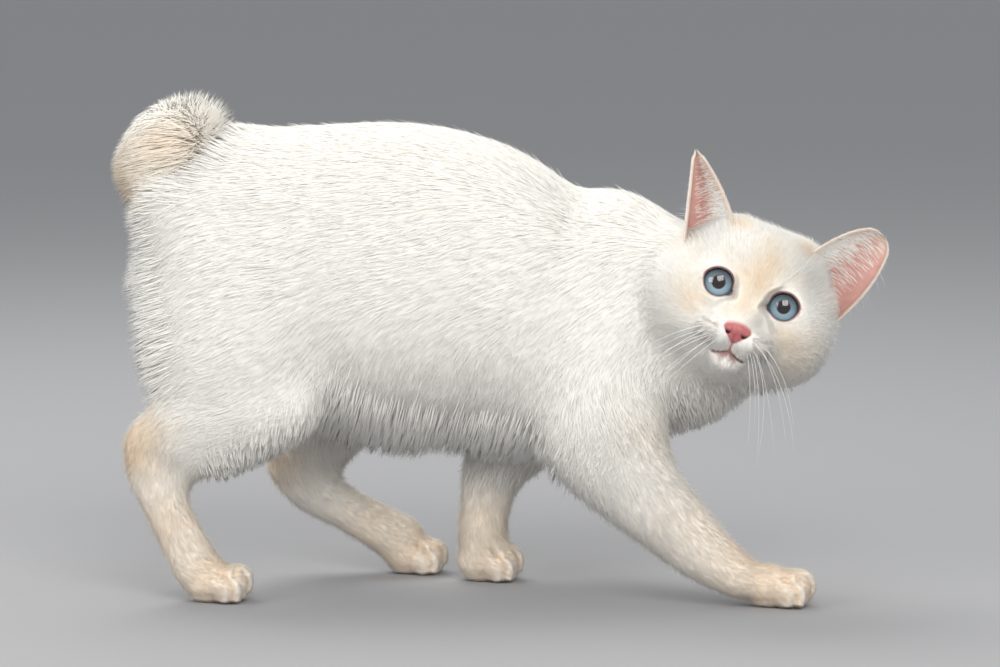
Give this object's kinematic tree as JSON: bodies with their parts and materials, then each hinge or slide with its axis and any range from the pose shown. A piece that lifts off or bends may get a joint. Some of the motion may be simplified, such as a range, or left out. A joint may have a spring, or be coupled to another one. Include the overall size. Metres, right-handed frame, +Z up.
{
  "type": "mekong bobtail cat",
  "caption": "Life-size still model of a walking white mekong bobtail cat with blue eyes and a short pompom tail, its head turned to its right side.",
  "frame": {"origin": "middle of the model's outline, on the floor under it", "axes": "+X forwards along the body towards the chest, +Y to the cat's left, +Z up; the head turns to -Y"},
  "size_m": [0.4178, 0.1598, 0.2772],
  "materials": {
    "coat": "soft short white fur with cream points",
    "eye": "wet blue eye with a dark round pupil",
    "nose_leather": "smooth pink skin"
  },
  "bodies": {
    "root": {"torso": "coat", "neck": "coat", "head": "coat", "ear_left": "coat", "ear_right": "coat", "foreleg_left": "coat", "foreleg_right": "coat", "forepaw_left": "coat", "forepaw_right": "coat", "hindleg_left": "coat", "hindleg_right": "coat", "hindpaw_left": "coat", "hindpaw_right": "coat", "tail": "coat", "eye_left": "eye", "eye_right": "eye", "nose": "nose_leather"}
  },
  "joints": []
}
